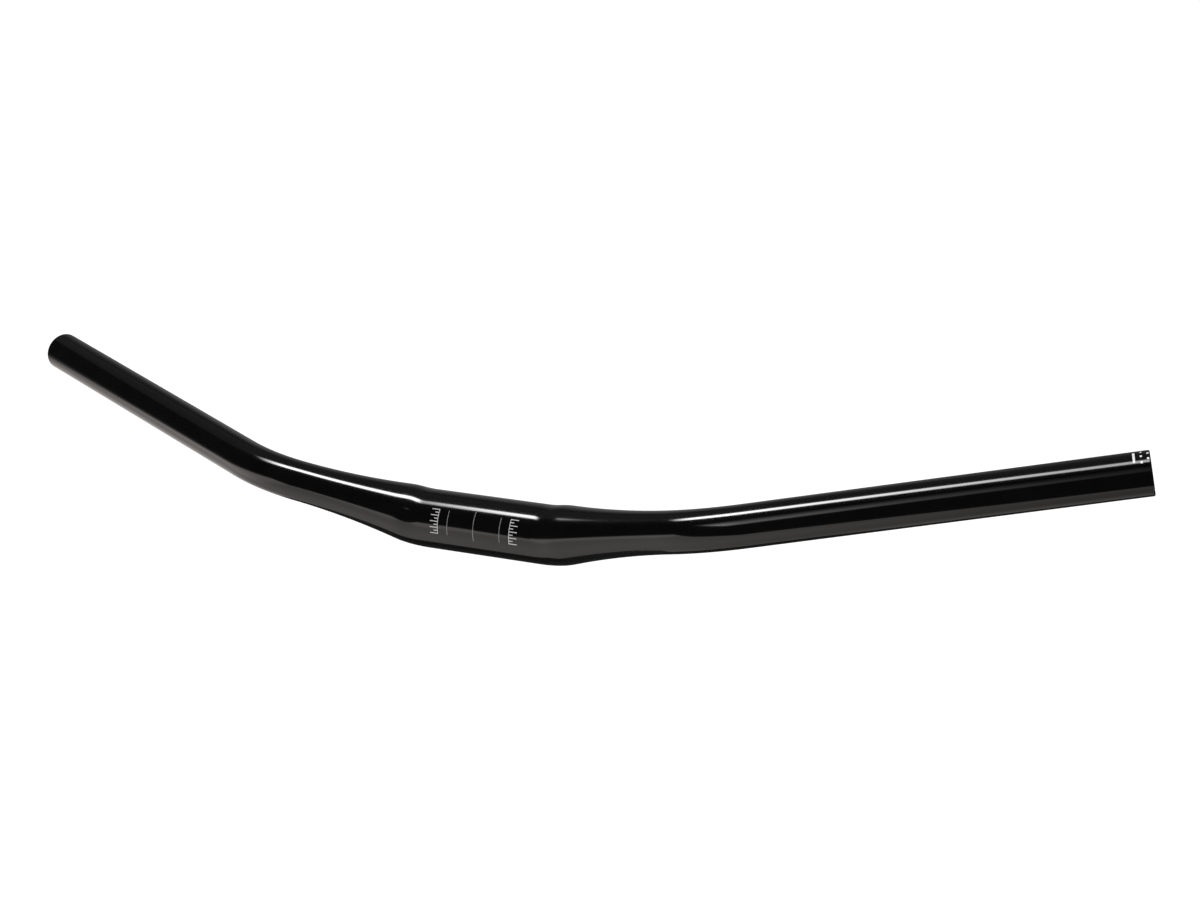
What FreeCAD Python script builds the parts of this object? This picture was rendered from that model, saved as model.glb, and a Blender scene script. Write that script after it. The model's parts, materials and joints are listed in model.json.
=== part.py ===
# Bicycle handlebar: one aluminium tube, swaged thick in the middle for the stem and thin at the
# grips, bent twice on each side. Millimetres and degrees.
# The origin is the middle of the stem clamp. +X runs along the clamp, +Y back to the rider, +Z up.
import FreeCAD, Part
import math
import os
import Sketcher
from FreeCAD import Placement, Rotation, Vector

DIMENSIONS = {
    "width_over_ends": 680.0,    # between the centres of the two end faces
    "clamp_diameter": 31.8,
    "clamp_wall": 2.6,
    "clamp_straight": 70.0,      # straight length held by the stem
    "grip_diameter": 22.2,
    "grip_wall": 2.0,
    "rise_radius": 45.0,         # first bend, beside the clamp
    "rise_angle": 13.6,
    "rise_lean": 20.0,           # plane of the first bend, forward of upright
    "taper_length": 72.0,        # straight stretch between the bends
    "shoulder_radius": 60.0,     # rounding where the thick middle starts to narrow
    "sweep_radius": 90.0,        # second bend, before the grip
    "backsweep": 20.0,           # grips turned back, seen from above
    "upsweep": 4.0,              # grips turned up, seen from behind
    "end_chamfer": 0.5,
}

doc = FreeCAD.newDocument("handlebar")
sheet = doc.addObject("Spreadsheet::Sheet", "dims")
for row, (alias, value) in enumerate(DIMENSIONS.items(), start=1):
    sheet.set(f"A{row}", alias)
    sheet.set(f"B{row}", str(value))
    sheet.setAlias(f"B{row}", alias)
doc.recompute()

# Angles and lengths that follow from the driving sizes. The grip's direction is split into three
# shares: along the tube after the first bend, across it in that bend's plane, and aside from it.
FORMULAS = {
    "grip_right": "cos(dims.backsweep) * cos(dims.upsweep)",
    "grip_back": "sin(dims.backsweep) * cos(dims.upsweep)",
    "grip_up": "sin(dims.upsweep)",
    "grip_lift": "cos(dims.rise_lean) * route.grip_up - sin(dims.rise_lean) * route.grip_back",
    "grip_along": "cos(dims.rise_angle) * route.grip_right + sin(dims.rise_angle) * route.grip_lift",
    "grip_across": "cos(dims.rise_angle) * route.grip_lift - sin(dims.rise_angle) * route.grip_right",
    "grip_aside": "-cos(dims.rise_lean) * route.grip_back - sin(dims.rise_lean) * route.grip_up",
    "sweep_angle": "acos(route.grip_along) / 1 deg",
    "sweep_turn": "atan2(route.grip_aside; route.grip_across) / 1 deg",
    "sweep_reach": "dims.sweep_radius * (sin(route.sweep_angle) * cos(dims.rise_angle)"
                   " - (1 - cos(route.sweep_angle)) * sin(dims.rise_angle) * cos(route.sweep_turn))",
    "grip_start": "dims.clamp_straight / 2 + dims.rise_radius * sin(dims.rise_angle)"
                  " + dims.taper_length * cos(dims.rise_angle) + route.sweep_reach",
    "grip_length": "(dims.width_over_ends / 2 - route.grip_start) / route.grip_right",
}
route = doc.addObject("App::VarSet", "route")
for name, formula in FORMULAS.items():
    route.addProperty("App::PropertyFloat", name, "Route")
    route.setExpression(name, formula)
    doc.recompute()

bar = doc.addObject("PartDesign::Body", "handlebar")
bar.Label = "handlebar"
origin_planes = {feature.Role: feature for feature in bar.Origin.OriginFeatures}


def radius(name):
    """Half of a diameter, as an expression: clamp or grip, outside or bore."""
    stretch, side = name.split("_")
    if side == "bore":
        return f"(dims.{stretch}_diameter / 2 - dims.{stretch}_wall)"
    return f"(dims.{stretch}_diameter / 2)"


def number(formula):
    """Present value of an expression, for a sketch's first drawing."""
    return float(sheet.evalExpression(formula))


def attach(thing, support, expressions, turn=Rotation()):
    """Seat a plane or sketch on a flat support, shifted and turned by the given expressions."""
    thing.AttachmentSupport = [(support, "")]
    thing.MapMode = "FlatFace"
    thing.AttachmentOffset = Placement(Vector(), turn)
    for path, formula in expressions.items():
        thing.setExpression(f"AttachmentOffset.{path}", formula)


def station(name, support, expressions, turn_axis):
    """Plane square to the tube: its Z axis runs along the tube, and its X axis to the bend's centre."""
    plane = bar.newObject("PartDesign::Plane", name)
    attach(plane, support, expressions, Rotation(turn_axis, 1.0))
    doc.recompute()
    return plane


def after_bend(name, start, bend_radius, angle):
    """Station at the far end of a bend."""
    return station(name, start, {
        "Base.x": f"{bend_radius} * (1 - cos({angle}))",
        "Base.z": f"{bend_radius} * sin({angle})",
        "Rotation.Angle": f"{angle} * 1 deg",
    }, Vector(0, 1, 0))


def bind(sketch, constraint, formula):
    """Add a dimension to a sketch and tie it to an expression."""
    index = sketch.addConstraint(constraint)
    sketch.setExpression(f"Constraints[{index}]", formula)


def ring_sketch(name, support, stretch, bend_radius=None):
    """Section of the tube wall. For a bend, the sketch's vertical axis is the bend's axis."""
    sketch = bar.newObject("Sketcher::SketchObject", name)
    attach(sketch, support, {"Base.x": bend_radius} if bend_radius else {})
    middle = Vector(-number(bend_radius), 0, 0) if bend_radius else Vector()
    for side in ("outside", "bore"):
        size = radius(f"{stretch}_{side}")
        circle = sketch.addGeometry(Part.Circle(middle, Vector(0, 0, 1), number(size)))
        if bend_radius:
            sketch.addConstraint(Sketcher.Constraint("PointOnObject", circle, 3, -1))
            bind(sketch, Sketcher.Constraint("DistanceX", circle, 3, -1, 1, -middle.x), bend_radius)
        else:
            sketch.addConstraint(Sketcher.Constraint("Coincident", circle, 3, -1, 1))
        bind(sketch, Sketcher.Constraint("Radius", circle, number(size)), size)
    return sketch


def revolve(name, sketch, angle):
    """Turn a sketch about its own vertical axis."""
    feature = bar.newObject("PartDesign::Revolution", name)
    feature.Profile = sketch
    feature.ReferenceAxis = (sketch, ["V_Axis"])
    feature.setExpression("Angle", f"{angle} * 1 deg")
    doc.recompute()
    return feature


def bend(name, start, stretch, bend_radius, angle):
    """Bent stretch of tube with an even wall."""
    return revolve(name, ring_sketch(f"{name}_section", start, stretch, bend_radius), angle)


def wall_sketch(name, start):
    """Sketch in which the vertical axis is the tube's own axis, running on from a station."""
    sketch = bar.newObject("Sketcher::SketchObject", name)
    attach(sketch, start, {}, Rotation(Vector(1, 0, 0), 90))
    return sketch


def narrowing_side(sketch, side):
    """One side of the taper's wall: a shoulder arc that runs smoothly into a long flare arc."""
    thick, thin = radius(f"clamp_{side}"), radius(f"grip_{side}")
    length, shoulder = number("dims.taper_length"), number("dims.shoulder_radius")
    drop = number(thick) - number(thin)
    flare = (length ** 2 + drop ** 2) / (2 * drop) - shoulder
    slope = math.asin(length / (shoulder + flare))
    shoulder_middle = Vector(number(thick) - shoulder, 0, 0)
    flare_middle = Vector(number(thin) + flare, length, 0)
    up = Vector(0, 0, 1)
    near = sketch.addGeometry(Part.ArcOfCircle(Part.Circle(shoulder_middle, up, shoulder), 0, slope))
    far = sketch.addGeometry(
        Part.ArcOfCircle(Part.Circle(flare_middle, up, flare), math.pi, math.pi + slope))
    sketch.addConstraint([
        Sketcher.Constraint("PointOnObject", near, 1, -1),
        Sketcher.Constraint("PointOnObject", near, 3, -1),
        Sketcher.Constraint("Tangent", near, 2, far, 2),
        Sketcher.Constraint("Horizontal", far, 1, far, 3),
    ])
    bind(sketch, Sketcher.Constraint("DistanceX", -1, 1, near, 1, number(thick)), thick)
    bind(sketch, Sketcher.Constraint("DistanceX", -1, 1, far, 1, number(thin)), thin)
    bind(sketch, Sketcher.Constraint("DistanceY", -1, 1, far, 1, length), "dims.taper_length")
    bind(sketch, Sketcher.Constraint("Radius", near, shoulder), "dims.shoulder_radius")
    return near, far


def close_gap(sketch, first, second):
    """Straight line from one curve's end to another's, both given as (curve, end)."""
    start, end = (sketch.getPoint(*corner) for corner in (first, second))
    line = sketch.addGeometry(Part.LineSegment(start, end))
    sketch.addConstraint(Sketcher.Constraint("Coincident", line, 1, *first))
    sketch.addConstraint(Sketcher.Constraint("Coincident", line, 2, *second))


def taper(name, start):
    """Stretch that narrows from the clamp's size to the grip's, outside and in the bore."""
    sketch = wall_sketch(f"{name}_wall", start)
    outer_near, outer_far = narrowing_side(sketch, "outside")
    bore_near, bore_far = narrowing_side(sketch, "bore")
    close_gap(sketch, (outer_near, 1), (bore_near, 1))
    close_gap(sketch, (outer_far, 1), (bore_far, 1))
    return revolve(name, sketch, "360")


def grip(name, start):
    """Straight grip stretch with both edges of its open end broken."""
    sketch = wall_sketch(f"{name}_wall", start)
    outer, bore = radius("grip_outside"), radius("grip_bore")
    length, edge = "route.grip_length", "dims.end_chamfer"
    corners = [
        (bore, "0"),
        (outer, "0"),
        (outer, f"({length} - {edge})"),
        (f"({outer} - {edge})", length),
        (f"({bore} + {edge})", length),
        (bore, f"({length} - {edge})"),
    ]
    points = [Vector(number(across), number(along), 0) for across, along in corners]
    lines = [sketch.addGeometry(Part.LineSegment(point, points[(k + 1) % len(points)]))
             for k, point in enumerate(points)]
    for k, line in enumerate(lines):
        sketch.addConstraint(Sketcher.Constraint("Coincident", line, 2, lines[(k + 1) % len(lines)], 1))
    for line, point, (across, along) in zip(lines, points, corners):
        bind(sketch, Sketcher.Constraint("DistanceX", -1, 1, line, 1, point.x), across)
        if along == "0":
            sketch.addConstraint(Sketcher.Constraint("PointOnObject", line, 1, -1))
        else:
            bind(sketch, Sketcher.Constraint("DistanceY", -1, 1, line, 1, point.y), along)
    return revolve(name, sketch, "360")


# Thick straight middle, held by the stem
clamp = bar.newObject("PartDesign::Pad", "clamp")
clamp.Profile = ring_sketch("clamp_section", origin_planes["YZ_Plane"], "clamp")
clamp.Midplane = True
clamp.setExpression("Length", "dims.clamp_straight")
doc.recompute()

# Centreline of the +X side: first bend, taper, second bend, grip
rise_start = station("rise_start", origin_planes["YZ_Plane"], {
    "Base.z": "dims.clamp_straight / 2",
    "Rotation.Angle": "(90 + dims.rise_lean) * 1 deg",
}, Vector(0, 0, 1))
rise_end = after_bend("rise_end", rise_start, "dims.rise_radius", "dims.rise_angle")
sweep_start = station("sweep_start", rise_end, {
    "Base.z": "dims.taper_length",
    "Rotation.Angle": "route.sweep_turn * 1 deg",
}, Vector(0, 0, 1))
sweep_end = after_bend("sweep_end", sweep_start, "dims.sweep_radius", "route.sweep_angle")

side = [
    bend("rise_bend", rise_start, "clamp", "dims.rise_radius", "dims.rise_angle"),
    taper("taper", rise_end),
    bend("sweep_bend", sweep_start, "grip", "dims.sweep_radius", "route.sweep_angle"),
    grip("grip", sweep_end),
]

# The other side is its mirror image
both_sides = bar.newObject("PartDesign::Mirrored", "both_sides")
both_sides.Originals = side
both_sides.MirrorPlane = (origin_planes["YZ_Plane"], [""])
bar.Tip = both_sides
bar.Placement = Placement()
doc.recompute()

failed = [thing.Name for thing in doc.Objects if "Invalid" in thing.State or "Error" in thing.State]
if failed:
    raise RuntimeError(f"failed objects: {failed}")
if bar.Shape.isNull() or not bar.Shape.isValid() or len(bar.Shape.Solids) != 1:
    raise RuntimeError("the handlebar isn't one valid solid")

os.makedirs("parts", exist_ok=True)
bar.Shape.exportStep(f"parts/{bar.Label}.step")
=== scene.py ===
# Bicycle handlebar: one gloss black tube, thick in the middle for the stem and thin at the grips,
# bent twice on each side, with printed scales on the clamp and trim marks at one end.
# Metres and radians. +X runs along the clamp, +Y back to the rider, +Z up.
import json
import math

import bpy
from mathutils import Matrix, Vector


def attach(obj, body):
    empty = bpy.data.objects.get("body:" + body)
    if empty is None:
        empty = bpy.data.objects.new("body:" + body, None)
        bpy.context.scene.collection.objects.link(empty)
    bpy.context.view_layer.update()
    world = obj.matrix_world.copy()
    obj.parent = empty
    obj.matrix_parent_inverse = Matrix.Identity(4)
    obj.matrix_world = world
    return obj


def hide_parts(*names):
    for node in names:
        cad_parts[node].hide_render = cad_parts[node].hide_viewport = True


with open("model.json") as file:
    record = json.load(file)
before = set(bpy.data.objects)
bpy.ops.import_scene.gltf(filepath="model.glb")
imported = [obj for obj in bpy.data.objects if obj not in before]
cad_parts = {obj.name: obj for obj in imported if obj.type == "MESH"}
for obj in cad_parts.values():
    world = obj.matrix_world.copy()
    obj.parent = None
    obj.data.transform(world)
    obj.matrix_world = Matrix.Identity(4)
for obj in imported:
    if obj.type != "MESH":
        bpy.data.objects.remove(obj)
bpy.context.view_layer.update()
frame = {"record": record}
scene = bpy.context.scene

MM = 0.001
mounts = {mount["name"]: mount for mount in frame["record"]["mounts"]}


def mount_size(name, key):
    """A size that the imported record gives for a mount, in metres."""
    return mounts[name]["dims"][key] * MM


# Sizes of the tube
CLAMP_RADIUS = mount_size("stem_clamp", "r_mm")
CLAMP_HALF = mount_size("stem_clamp", "length_mm") / 2
CLAMP_WALL = 2.6 * MM
GRIP_RADIUS = mount_size("grip_left", "r_mm")
GRIP_RUN = mount_size("grip_left", "length_mm")
GRIP_BORE = mount_size("bar_end_left", "r_mm")
END_CHAMFER = 0.5 * MM
RISE_RADIUS = 45 * MM
RISE_ANGLE = math.radians(13.6)
RISE_LEAN = math.radians(20)
TAPER_LENGTH = 72 * MM
SHOULDER_RADIUS = 60 * MM
SWEEP_RADIUS = 90 * MM

# The second bend, seen in the straightened tube: how far it turns, and to which side
rise_axis = Vector((1, 0, 0)).cross(Vector((0, -math.sin(RISE_LEAN), math.cos(RISE_LEAN))))
before_rise = Matrix.Rotation(-RISE_ANGLE, 3, rise_axis) @ Vector(mounts["grip_left"]["axis"])
SWEEP_ANGLE = math.acos(before_rise.x)
SWEEP_LEAN = math.atan2(-before_rise.y, before_rise.z)

# Places along the straightened tube, from the middle of the clamp
TAPER_START = CLAMP_HALF + RISE_RADIUS * RISE_ANGLE
SWEEP_START = TAPER_START + TAPER_LENGTH
TUBE_HALF = SWEEP_START + SWEEP_RADIUS * SWEEP_ANGLE + GRIP_RUN + END_CHAMFER

BENDS = {
    "Rise Start": CLAMP_HALF,
    "Rise Radius": RISE_RADIUS,
    "Rise Angle": RISE_ANGLE,
    "Rise Lean": RISE_LEAN,
    "Sweep Start": SWEEP_START,
    "Sweep Radius": SWEEP_RADIUS,
    "Sweep Angle": SWEEP_ANGLE,
    "Sweep Lean": SWEEP_LEAN,
}


# Small tools for drawing node trees
class Formula:
    """A number on a node socket. Plain arithmetic on it adds the matching math nodes."""

    def __init__(self, tree, socket):
        self.tree = tree
        self.socket = socket

    def calc(self, operation, *others):
        node = self.tree.nodes.new("ShaderNodeMath")
        node.operation = operation
        for value, socket in zip((self, *others), node.inputs):
            feed(self.tree, socket, value)
        return Formula(self.tree, node.outputs[0])

    def __add__(self, other):
        return self.calc("ADD", other)

    def __sub__(self, other):
        return self.calc("SUBTRACT", other)

    def __mul__(self, other):
        return self.calc("MULTIPLY", other)

    def __truediv__(self, other):
        return self.calc("DIVIDE", other)

    def sine(self):
        return self.calc("SINE")

    def cosine(self):
        return self.calc("COSINE")

    def root(self):
        return self.calc("SQRT")

    def at_least(self, limit):
        return self.calc("MAXIMUM", limit)

    def at_most(self, limit):
        return self.calc("MINIMUM", limit)


def feed(tree, socket, value):
    """Give a socket its value: another socket's, or a plain one."""
    if isinstance(value, Formula):
        value = value.socket
    if isinstance(value, bpy.types.NodeSocket):
        tree.links.new(value, socket)
    else:
        socket.default_value = value


def add(tree, kind, feeds=None, **settings):
    """Add a node with its settings and feed its sockets, which are named or counted."""
    node = tree.nodes.new(kind)
    for name, value in settings.items():
        setattr(node, name, value)
    for name, value in (feeds or {}).items():
        feed(tree, node.inputs[name], value)
    return node


def start_tree(name, sizes):
    """New node tree with a named input for each size, as a formula."""
    tree = bpy.data.node_groups.new(name, "GeometryNodeTree")
    tree.is_modifier = True
    for size, value in sizes.items():
        kind = "NodeSocketInt" if isinstance(value, int) else "NodeSocketFloat"
        tree.interface.new_socket(size, in_out="INPUT", socket_type=kind)
    tree.interface.new_socket("Geometry", in_out="OUTPUT", socket_type="NodeSocketGeometry")
    inputs = tree.nodes.new("NodeGroupInput")
    return tree, {size: Formula(tree, inputs.outputs[size]) for size in sizes}


def end_tree(tree, geometry, material, others=()):
    """Close a tree: real geometry, then its material, then others on the faces of a named mark."""
    geometry = add(tree, "GeometryNodeRealizeInstances", {"Geometry": geometry}).outputs[0]
    geometry = add(tree, "GeometryNodeSetMaterial",
                   {"Geometry": geometry, "Material": material}).outputs[0]
    for mark, other in others:
        marked = add(tree, "GeometryNodeInputNamedAttribute", {"Name": mark}, data_type="BOOLEAN")
        geometry = add(tree, "GeometryNodeSetMaterial", {
            "Geometry": geometry,
            "Selection": marked.outputs["Attribute"],
            "Material": other,
        }).outputs[0]
    add(tree, "NodeGroupOutput", {0: geometry})


def grow(name, tree, sizes):
    """Run a tree with the given sizes and keep the result as a plain mesh object."""
    piece = bpy.data.objects.new(name, bpy.data.meshes.new(name))
    scene.collection.objects.link(piece)
    modifier = piece.modifiers.new("shape", "NODES")
    modifier.node_group = tree
    for item in tree.interface.items_tree:
        if item.in_out == "INPUT":
            modifier[item.identifier] = sizes[item.name]
    grown = piece.evaluated_get(bpy.context.evaluated_depsgraph_get())
    mesh = bpy.data.meshes.new_from_object(grown)
    piece.modifiers.clear()
    piece.data = mesh
    mesh.name = name
    return piece


def split(tree, triple):
    """The three numbers of a vector socket."""
    node = add(tree, "ShaderNodeSeparateXYZ", {0: triple})
    return [Formula(tree, socket) for socket in node.outputs]


def place(tree):
    """Where a point is now, as three numbers."""
    return split(tree, add(tree, "GeometryNodeInputPosition").outputs[0])


def vector(tree, *numbers):
    return add(tree, "ShaderNodeCombineXYZ", dict(enumerate(numbers))).outputs[0]


def move(tree, geometry, *numbers):
    """Put every point of a geometry where three numbers say."""
    return add(tree, "GeometryNodeSetPosition",
               {"Geometry": geometry, "Position": vector(tree, *numbers)}).outputs[0]


def join(tree, geometries):
    node = tree.nodes.new("GeometryNodeJoinGeometry")
    for geometry in geometries:
        tree.links.new(geometry, node.inputs[0])
    return node.outputs[0]


# Rules of the tube's shape
END_ROWS = 4
MERGE_GAP = 0.001 * MM
CREASE_ANGLE = math.radians(25)


def bend(tree, geometry, start, radius, angle, lean):
    """Bend a straight tube on both sides of the middle, past start, to the side that lean gives."""
    x, y, z = place(tree)
    along = x.calc("ABSOLUTE")
    to_y = lean.sine() * -1.0
    to_z = lean.cosine()
    offset = y * to_y + z * to_z
    turn = ((along - start) / radius).at_least(0.0).at_most(angle)
    beyond = (along - start - radius * angle).at_least(0.0)
    arm = radius - offset
    new_along = along.at_most(start) + arm * turn.sine() + beyond * turn.cosine()
    aside = radius - arm * turn.cosine() + beyond * turn.sine() - offset
    return move(tree, geometry, new_along * x.calc("SIGN"), y + to_y * aside, z + to_z * aside)


def bend_bar(tree, geometry, size):
    """Both bends, the outer one first."""
    for name in ("Sweep", "Rise"):
        geometry = bend(tree, geometry, size[f"{name} Start"], size[f"{name} Radius"],
                        size[f"{name} Angle"], size[f"{name} Lean"])
    return geometry


def narrowing(along, start, length, shoulder, thick, thin):
    """Radius of the straightened tube: level, shoulder arc, flare arc, level again."""
    drop = thick - thin
    both_arcs = (length * length + drop * drop) / (drop * 2.0)
    flare = both_arcs - shoulder
    meeting = length * shoulder / both_arcs
    into = (along.calc("ABSOLUTE") - start).at_least(0.0).at_most(length)
    near = into.at_most(meeting)
    far = length - into.at_least(meeting)
    shoulder_drop = shoulder - (shoulder * shoulder - near * near).root()
    flare_rise = flare - (flare * flare - far * far).root()
    meeting_rise = length - meeting
    flare_full = flare - (flare * flare - meeting_rise * meeting_rise).root()
    return thick - shoulder_drop - flare_full + flare_rise


def strip(tree, rows, ring, section, mark=None):
    """Band of faces round the axis. section turns a share of the band into (along, across)."""
    grid = add(tree, "GeometryNodeMeshGrid",
               {"Size X": 1.0, "Size Y": 1.0, "Vertices X": rows, "Vertices Y": ring})
    x, y, _ = place(tree)
    turn = (y + 0.5) * math.tau
    along, across = section(x + 0.5)
    geometry = add(tree, "GeometryNodeStoreNamedAttribute", {
        "Geometry": grid.outputs["Mesh"],
        "Name": "UVMap",
        "Value": vector(tree, along, turn * across, 0.0),
    }, data_type="FLOAT2", domain="CORNER").outputs[0]
    if mark:
        geometry = add(tree, "GeometryNodeStoreNamedAttribute",
                       {"Geometry": geometry, "Name": mark, "Value": True},
                       data_type="BOOLEAN", domain="FACE").outputs[0]
    return move(tree, geometry, along, across * turn.sine(), across * turn.cosine())


def tube_tree(sizes, coat, bore_metal):
    """The whole tube: outside, two broken ends and bore, drawn straight and then bent."""
    tree, size = start_tree("bent_tube", sizes)
    taper = (size["Taper Start"], size["Taper Length"], size["Shoulder Radius"])
    level = size["Half Length"] - size["End Chamfer"]
    chamfer = size["End Chamfer"]
    wall = size["Grip Radius"] - size["Grip Bore"]

    def outside(share):
        along = level * (share * 2.0 - 1.0)
        return along, narrowing(along, *taper, size["Clamp Radius"], size["Grip Radius"])

    def bore(share):
        along = level * (share * -2.0 + 1.0)
        return along, narrowing(along, *taper, size["Clamp Bore"], size["Grip Bore"])

    def broken_end(share, side):
        """Outer chamfer, flat and inner chamfer; read backwards on the -X side."""
        steps = share * 3.0 if side > 0 else share * -3.0 + 3.0
        outer, flat, inner = [(steps - k).at_least(0.0).at_most(1.0) for k in (0.0, 1.0, 2.0)]
        along = (level + chamfer * (outer - inner)) * side
        return along, size["Grip Radius"] - chamfer * (outer + inner) - (wall - chamfer * 2.0) * flat

    ring = size["Ring Points"]
    bands = [
        strip(tree, size["Outside Rows"], ring, outside),
        strip(tree, END_ROWS, ring, lambda share: broken_end(share, 1.0)),
        strip(tree, size["Bore Rows"], ring, bore, "bore_wall"),
        strip(tree, END_ROWS, ring, lambda share: broken_end(share, -1.0)),
    ]
    closed = add(tree, "GeometryNodeMergeByDistance",
                 {"Geometry": join(tree, bands), "Distance": MERGE_GAP}).outputs[0]
    bent = bend_bar(tree, closed, size)
    smooth = add(tree, "GeometryNodeSetShadeSmooth", {0: bent, "Shade Smooth": True})
    corner = Formula(tree, add(tree, "GeometryNodeInputMeshEdgeAngle").outputs["Unsigned Angle"])
    creased = add(tree, "GeometryNodeSetShadeSmooth", {
        0: smooth.outputs[0],
        "Selection": corner.calc("GREATER_THAN", CREASE_ANGLE),
        "Shade Smooth": False,
    }, domain="EDGE")
    end_tree(tree, creased.outputs[0], coat, [("bore_wall", bore_metal)])
    return tree


# Rules of the printed marks. They are drawn flat, X along the tube and Y round it, then wrapped.
# Points across a mark's width, so that it follows the curve
LINE_POINTS = 24
DOT_POINTS = 5
TICK_POINTS = 2


def ink_bar(tree, length, width, depth, points):
    """Thin flat bar of ink: length along the tube, width round it."""
    return add(tree, "GeometryNodeMeshCube", {
        "Size": vector(tree, length, width, depth),
        "Vertices X": 2,
        "Vertices Y": points,
        "Vertices Z": 2,
    }).outputs["Mesh"]


def shift(tree, geometry, distance):
    """Slide a flat mark along the tube."""
    return add(tree, "GeometryNodeTransform",
               {"Geometry": geometry, "Translation": vector(tree, distance, 0.0, 0.0)}).outputs[0]


def row(tree, geometry, count, pitch, scale=None):
    """Copies of a mark in a row round the tube, centred on zero."""
    first = (count - 1.0) * pitch * -0.5
    line = add(tree, "GeometryNodeMeshLine", {
        "Count": count,
        "Start Location": vector(tree, 0.0, first, 0.0),
        "Offset": vector(tree, 0.0, pitch, 0.0),
    })
    feeds = {"Points": line.outputs[0], "Instance": geometry}
    if scale is not None:
        feeds["Scale"] = scale
    copies = add(tree, "GeometryNodeInstanceOnPoints", feeds).outputs[0]
    return add(tree, "GeometryNodeRealizeInstances", {"Geometry": copies}).outputs[0]


def both_ways(tree, geometry, distance):
    """A mark at a distance from the middle and its twin, turned round, on the other side."""
    turned = add(tree, "GeometryNodeTransform", {
        "Geometry": shift(tree, geometry, distance),
        "Rotation": (0.0, 0.0, math.pi),
    }).outputs[0]
    return join(tree, [shift(tree, geometry, distance), turned])


def wrap(tree, geometry, radius, middle):
    """Lay a flat print on the tube, with its Y zero at the middle angle, counted from the top."""
    x, y, z = place(tree)
    turn = y / radius + middle
    across = radius + z
    return move(tree, geometry, x, across * turn.sine(), across * turn.cosine())


def scales_tree(sizes, ink):
    """Two combs of long and short ticks, one each side of the stem."""
    tree, size = start_tree("clamp_scales", sizes)
    depth = size["Ink Depth"]
    # A tick of unit length, stretched to its own length in the row
    tick = shift(tree, ink_bar(tree, 1.0, size["Tick Width"], depth, TICK_POINTS), 0.5)
    order = Formula(tree, add(tree, "GeometryNodeInputIndex").outputs[0])
    short = order.calc("MODULO", 2.0)
    length = size["Long Tick"] - (size["Long Tick"] - size["Short Tick"]) * short
    ticks = row(tree, tick, size["Tick Count"], size["Tick Pitch"], vector(tree, length, 1.0, 1.0))
    base_run = (size["Tick Count"] - 1.0) * size["Tick Pitch"] + size["Tick Width"]
    base = ink_bar(tree, size["Base Width"], base_run, depth, LINE_POINTS)
    comb = join(tree, [ticks, base])
    print_flat = both_ways(tree, comb, size["Scale Distance"])
    end_tree(tree, wrap(tree, print_flat, size["Clamp Radius"], size["Middle Angle"]), ink)
    return tree


def lines_tree(sizes, ink):
    """Thin lines at the edges of the stem's place, and one in its middle."""
    tree, size = start_tree("clamp_lines", sizes)
    depth = size["Ink Depth"]
    edge = ink_bar(tree, size["Line Width"], size["Edge Line"], depth, LINE_POINTS)
    middle = ink_bar(tree, size["Line Width"], size["Middle Line"], depth, LINE_POINTS)
    print_flat = join(tree, [both_ways(tree, edge, size["Edge Distance"]), middle])
    end_tree(tree, wrap(tree, print_flat, size["Clamp Radius"], size["Middle Angle"]), ink)
    return tree


def trim_tree(sizes, ink):
    """Where the bar may be cut shorter: a line, and two staggered rows of dots nearer the end."""
    tree, size = start_tree("trim_marks", sizes)
    depth = size["Ink Depth"]
    line = ink_bar(tree, size["Line Width"], size["Line Run"], depth, LINE_POINTS)
    dot = ink_bar(tree, size["Dot Length"], size["Dot Width"], depth, DOT_POINTS)
    dots = row(tree, dot, size["Dot Count"], size["Dot Pitch"])
    last_dots = row(tree, dot, size["Dot Count"] - 1.0, size["Dot Pitch"])
    print_flat = join(tree, [
        shift(tree, line, size["Tube End"] - size["Line From End"]),
        shift(tree, dots, size["Tube End"] - size["Dots From End"]),
        shift(tree, last_dots, size["Tube End"] - size["Last Dots From End"]),
    ])
    laid = wrap(tree, print_flat, size["Grip Radius"], size["Middle Angle"])
    end_tree(tree, bend_bar(tree, laid, size), ink)
    return tree


# Materials
def start_material(name):
    """New node material with its shader, and the piece's own coordinates."""
    material = bpy.data.materials.new(name)
    material.use_nodes = True
    tree = material.node_tree
    shader = tree.nodes["Principled BSDF"]
    where = add(tree, "ShaderNodeTexCoord").outputs["Object"]
    return material, tree, shader, where


def noise(tree, where, scale, detail, roughness=0.5):
    return add(tree, "ShaderNodeTexNoise", {
        "Vector": where,
        "Scale": scale,
        "Detail": detail,
        "Roughness": roughness,
    }).outputs[0]


# Most of a noise texture's values lie between these
NOISE_LOW = 0.3
NOISE_HIGH = 0.7


def spread(tree, value, low, high):
    """A noise value stretched to a range."""
    return add(tree, "ShaderNodeMapRange", {
        "Value": value,
        "From Min": NOISE_LOW,
        "From Max": NOISE_HIGH,
        "To Min": low,
        "To Max": high,
    }).outputs[0]


# Where the mix node keeps its sockets for colours
MIX_FIRST = 6
MIX_SECOND = 7
MIX_RESULT = 2


def mix_colours(tree, value, low, high):
    """A colour between two, led by a noise value."""
    share = spread(tree, value, 0.0, 1.0)
    feeds = {0: share, MIX_FIRST: (*low, 1.0), MIX_SECOND: (*high, 1.0)}
    return add(tree, "ShaderNodeMix", feeds, data_type="RGBA").outputs[MIX_RESULT]


def bump(tree, height, strength, distance):
    return add(tree, "ShaderNodeBump", {
        "Height": height,
        "Strength": strength,
        "Distance": distance,
    }).outputs[0]


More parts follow.
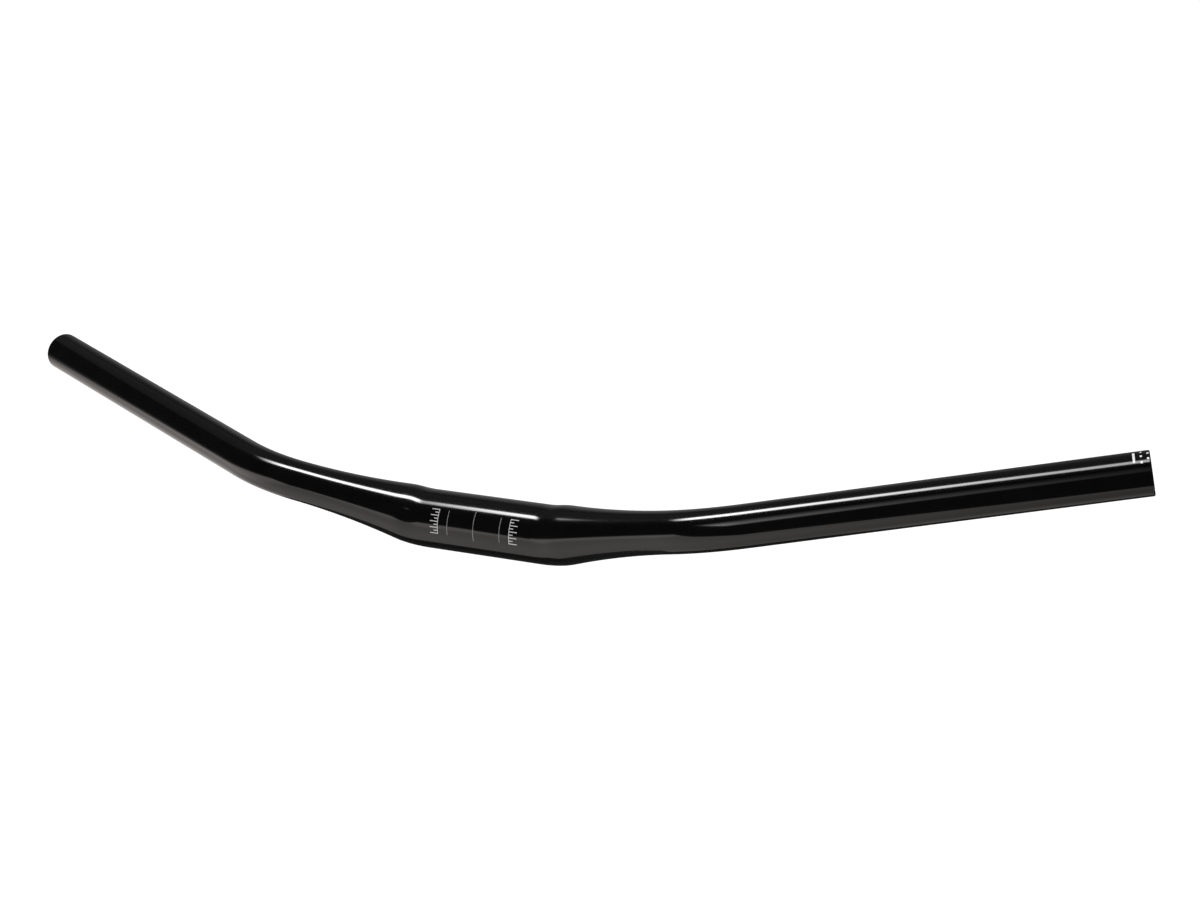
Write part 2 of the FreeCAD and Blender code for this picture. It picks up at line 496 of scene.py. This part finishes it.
def gloss_black_coat():
    """Sprayed black under clear lacquer, with the faint ripple that spraying leaves."""
    material, tree, shader, where = start_material("gloss_black_coat")
    cloud = noise(tree, where, scale=60.0, detail=4.0)
    fine = noise(tree, where, scale=900.0, detail=3.0)
    ripple = noise(tree, where, scale=420.0, detail=1.0)
    feed(tree, shader.inputs["Base Color"],
         mix_colours(tree, cloud, low=(0.0005, 0.0005, 0.0006), high=(0.0014, 0.0013, 0.0014)))
    feed(tree, shader.inputs["Roughness"], spread(tree, fine, low=0.14, high=0.22))
    feed(tree, shader.inputs["Specular IOR Level"], 0.12)
    feed(tree, shader.inputs["Coat Weight"], 1.0)
    feed(tree, shader.inputs["Coat Roughness"], 0.03)
    wave = bump(tree, ripple, strength=0.05, distance=0.05 * MM)
    feed(tree, shader.inputs["Normal"], wave)
    feed(tree, shader.inputs["Coat Normal"], wave)
    return material


def drawn_aluminium():
    """Bare bore of a drawn tube: dull grey metal with fine lines along it."""
    material, tree, shader, _ = start_material("drawn_aluminium")
    unrolled = add(tree, "ShaderNodeUVMap", uv_map="UVMap").outputs[0]
    stretched = add(tree, "ShaderNodeMapping",
                    {"Vector": unrolled, "Scale": (12.0, 2600.0, 1.0)}).outputs[0]
    lines = noise(tree, stretched, scale=1.0, detail=4.0, roughness=0.6)
    stain = noise(tree, unrolled, scale=90.0, detail=3.0)
    feed(tree, shader.inputs["Base Color"],
         mix_colours(tree, stain, low=(0.34, 0.34, 0.35), high=(0.52, 0.52, 0.53)))
    feed(tree, shader.inputs["Metallic"], 0.5)
    feed(tree, shader.inputs["Roughness"], spread(tree, lines, low=0.35, high=0.55))
    feed(tree, shader.inputs["Normal"], bump(tree, lines, strength=0.2, distance=0.02 * MM))
    return material


def print_ink(name, low, high):
    """Thin pale print under the lacquer, a little uneven."""
    material, tree, shader, where = start_material(name)
    patch = noise(tree, where, scale=700.0, detail=4.0, roughness=0.65)
    feed(tree, shader.inputs["Base Color"], mix_colours(tree, patch, (low,) * 3, (high,) * 3))
    feed(tree, shader.inputs["Roughness"], spread(tree, patch, low=0.3, high=0.45))
    feed(tree, shader.inputs["Coat Weight"], 0.6)
    feed(tree, shader.inputs["Coat Roughness"], 0.05)
    return material


# The bar
INK_DEPTH = 0.06 * MM
PRINT_ANGLE = math.radians(-58)
TRIM_ANGLE = math.radians(-11.4)

tube_sizes = {
    "Half Length": TUBE_HALF,
    "Clamp Radius": CLAMP_RADIUS,
    "Clamp Bore": CLAMP_RADIUS - CLAMP_WALL,
    "Grip Radius": GRIP_RADIUS,
    "Grip Bore": GRIP_BORE,
    "Taper Start": TAPER_START,
    "Taper Length": TAPER_LENGTH,
    "Shoulder Radius": SHOULDER_RADIUS,
    "End Chamfer": END_CHAMFER,
    "Outside Rows": 481,
    "Bore Rows": 161,
    "Ring Points": 97,
    **BENDS,
}
scale_sizes = {
    "Tick Count": 9,
    "Tick Pitch": 1.63 * MM,
    "Long Tick": 4.8 * MM,
    "Short Tick": 2.4 * MM,
    "Tick Width": 0.45 * MM,
    "Base Width": 0.35 * MM,
    "Scale Distance": 22.2 * MM,
    "Clamp Radius": CLAMP_RADIUS,
    "Middle Angle": PRINT_ANGLE,
    "Ink Depth": INK_DEPTH,
}
line_sizes = {
    "Line Width": 0.4 * MM,
    "Edge Line": 13.4 * MM,
    "Middle Line": 16.4 * MM,
    "Edge Distance": 16.2 * MM,
    "Clamp Radius": CLAMP_RADIUS,
    "Middle Angle": PRINT_ANGLE,
    "Ink Depth": INK_DEPTH,
}
trim_sizes = {
    "Tube End": TUBE_HALF,
    "Line Width": 1.1 * MM,
    "Line Run": 7.0 * MM,
    "Line From End": 7.6 * MM,
    "Dot Length": 1.0 * MM,
    "Dot Width": 1.1 * MM,
    "Dot Pitch": 3.8 * MM,
    "Dot Count": 3,
    "Dots From End": 4.2 * MM,
    "Last Dots From End": 1.05 * MM,
    "Grip Radius": GRIP_RADIUS,
    "Middle Angle": TRIM_ANGLE,
    "Ink Depth": INK_DEPTH,
    **BENDS,
}

coat = gloss_black_coat()
white_ink = print_ink("white_print", low=0.62, high=0.82)
scale_ink = print_ink("scale_print", low=0.34, high=0.50)
grey_ink = print_ink("grey_print", low=0.10, high=0.17)

tube = grow("bent_tube", tube_tree(tube_sizes, coat, drawn_aluminium()), tube_sizes)
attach(tube, "root")
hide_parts("handlebar")

for name, make_tree, sizes, ink in (
    ("clamp_scales", scales_tree, scale_sizes, scale_ink),
    ("clamp_lines", lines_tree, line_sizes, grey_ink),
    ("trim_marks", trim_tree, trim_sizes, white_ink),
):
    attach(grow(name, make_tree(sizes, ink), sizes), "root")


# Studio. The photographed bar lay tipped back, so the lamps are set out in a tipped frame:
# x along the bar, y away from the camera, z up.
STUDIO_TIP = math.radians(-20.3)
STUDIO = Matrix.Rotation(STUDIO_TIP, 4, "X")


def glow_material(name, strength, fades, tint):
    """Glow of a lamp that fades over the lamp's own x, its own y or the distance from its middle
    line. Each fade says over what, from where, to where, and to what share."""
    material = bpy.data.materials.new(name)
    material.use_nodes = True
    tree = material.node_tree
    tree.nodes.remove(tree.nodes["Principled BSDF"])
    glow = add(tree, "ShaderNodeEmission", {"Color": (*tint, 1.0)})
    tree.links.new(glow.outputs[0], tree.nodes["Material Output"].inputs["Surface"])
    x, y, _ = split(tree, add(tree, "ShaderNodeTexCoord").outputs["Object"])
    over = {"x": x, "y": y, "aside": y.calc("ABSOLUTE")}
    amount = strength
    for way, fade_from, fade_to, share in fades:
        fade = add(tree, "ShaderNodeMapRange", {
            "Value": over[way],
            "From Min": fade_from,
            "From Max": fade_to,
            "To Min": 1.0,
            "To Max": share,
        }, interpolation_type="SMOOTHSTEP")
        amount = Formula(tree, fade.outputs[0]) * amount
    feed(tree, glow.inputs["Strength"], amount)
    return material


def card(name, outline, spot, strength, fades=(), yaw=0.0, lean=0.0, tint=(1.0, 1.0, 1.0)):
    """Flat stage piece that only shows in reflections, set in the tipped frame."""
    mesh = bpy.data.meshes.new(name)
    mesh.from_pydata([(x, y, 0.0) for x, y in outline], [], [range(len(outline))])
    mesh.materials.append(glow_material(name, strength, fades, tint))
    panel = bpy.data.objects.new(name, mesh)
    scene.collection.objects.link(panel)
    turn = Matrix.Rotation(yaw, 4, "Z") @ Matrix.Rotation(lean, 4, "X")
    panel.matrix_world = STUDIO @ Matrix.Translation(spot) @ turn
    panel.visible_camera = False
    panel.visible_diffuse = False
    panel.visible_shadow = False


def oblong(length, width):
    """Corners of a rectangle round zero, in order."""
    corners = ((-1, -1), (1, -1), (1, 1), (-1, 1))
    return [(x * length / 2, y * width / 2) for x, y in corners]


# A long strip lamp above gives the main highlight. It dies away slowly toward -X.
STRIP_HEIGHT = 0.60
card("strip_lamp", oblong(0.82, 0.20), (-0.11, -0.1427, STRIP_HEIGHT),
     strength=22.0, yaw=math.radians(5),
     fades=[("aside", 0.035, 0.10, 0.0), ("x", 0.0, 0.36, 0.36), ("x", -0.15, -0.40, 0.0)])

# A weak rail in front gives the second, dim highlight on the near grip
RAIL_HEIGHT = 0.343
card("front_rail", oblong(1.0, 0.60), (0.37, -0.48, RAIL_HEIGHT),
     strength=2.7, yaw=math.radians(30),
     fades=[("aside", 0.03, 0.30, 0.0), ("x", -0.45, -0.05, 0.2), ("x", -0.08, 0.07, 0.4)])

# A pale, slightly warm glowing card below stands in for a lit table and shows as the grey band on
# the underside. Its outline is cut and its glow dimmed toward the bar as a painted shadow of the bar
# on the table
TABLE_DROP = 0.30
TABLE = [
    (-2.5, -4.0), (-1.2, -1.95), (-0.2, -0.85), (0.12, -0.66), (0.27, -0.53), (0.40, -0.24),
    (1.0, 0.2), (1.0, 0.7), (0.31, 0.26), (0.19, 0.18), (0.165, 0.11), (0.09, 0.07),
    (-0.03, 0.10), (-0.05, -0.02), (-0.14, -0.03), (-0.31, -0.02), (-0.345, 0.07),
    (-0.6, 0.5), (-2.5, 2.0),
]
card("table_glow_painted_shadow", TABLE, (0.0, 0.0, -TABLE_DROP),
     strength=0.85, tint=(1.0, 0.94, 0.90),
     # The first fade dims the glow toward the bar: painted shadow of the bar
     fades=[("y", -0.25, 0.06, 0.5), ("x", 0.2, 0.42, 0.78),
            ("x", -0.4, -0.75, 1.5), ("x", -1.1, -1.8, 0.1)])

# The back wall and ceiling give the soft grey along the top edge
card("back_wall", oblong(6.0, 4.3), (0.0, 1.5, 1.85),
     strength=0.20, lean=math.radians(90),
     fades=[("y", -1.4, 0.5, 0.4), ("x", -0.65, -0.35, 0.6), ("x", -1.1, -1.5, 0.6)])
card("ceiling", oblong(6.0, 1.9), (0.0, 0.55, 2.5), strength=0.09)

# Pale floor, far below so that no shadow of the bar falls in view
FLOOR_DROP = 2.0
FLOOR_REACH = 40.0
floor_mesh = bpy.data.meshes.new("floor")
floor_corners = [(x, y, -FLOOR_DROP) for x, y in oblong(2 * FLOOR_REACH, 2 * FLOOR_REACH)]
floor_mesh.from_pydata(floor_corners, [], [range(len(floor_corners))])
floor = bpy.data.objects.new("floor", floor_mesh)
scene.collection.objects.link(floor)
floor.visible_glossy = False
paper, paper_tree, paper_shader, paper_where = start_material("floor_paper")
paper_cloud = noise(paper_tree, paper_where, scale=3.0, detail=2.0)
feed(paper_tree, paper_shader.inputs["Base Color"],
     mix_colours(paper_tree, paper_cloud, low=(0.90,) * 3, high=(0.94,) * 3))
feed(paper_tree, paper_shader.inputs["Roughness"], 0.9)
floor_mesh.materials.append(paper)

# Room: white all round for what the camera and matt surfaces see, dark for reflections
ROOM_WHITE = 1.25
ROOM_DARK = 0.03
world = bpy.data.worlds.new("studio_room")
world.use_nodes = True
scene.world = world
room = world.node_tree
ray = add(room, "ShaderNodeLightPath")
brightness = add(room, "ShaderNodeMapRange", {
    "Value": ray.outputs["Is Glossy Ray"],
    "To Min": ROOM_WHITE,
    "To Max": ROOM_DARK,
})
feed(room, room.nodes["Background"].inputs["Color"], (1.0, 1.0, 1.0, 1.0))
feed(room, room.nodes["Background"].inputs["Strength"], brightness.outputs[0])
scene.view_settings.view_transform = "Standard"

# Camera at the photograph's viewing angle
CAMERA_LENS = 69.0
CAMERA_SENSOR = 36.0
CAMERA_REACH = 100.0
CAMERA_PLACE = Vector((0.636654, -0.834010, 0.627994))
CAMERA_RIGHT = Vector((0.869245, 0.463722, -0.171390))
CAMERA_UP = Vector((-0.105464, 0.512628, 0.852109))
camera_data = bpy.data.cameras.new("camera")
camera_data.lens = CAMERA_LENS
camera_data.sensor_width = CAMERA_SENSOR
camera_data.clip_end = CAMERA_REACH
camera = bpy.data.objects.new("camera", camera_data)
scene.collection.objects.link(camera)
turned = Matrix((CAMERA_RIGHT, CAMERA_UP, CAMERA_RIGHT.cross(CAMERA_UP))).transposed()
camera.matrix_world = Matrix.Translation(CAMERA_PLACE) @ turned.to_4x4()
scene.camera = camera
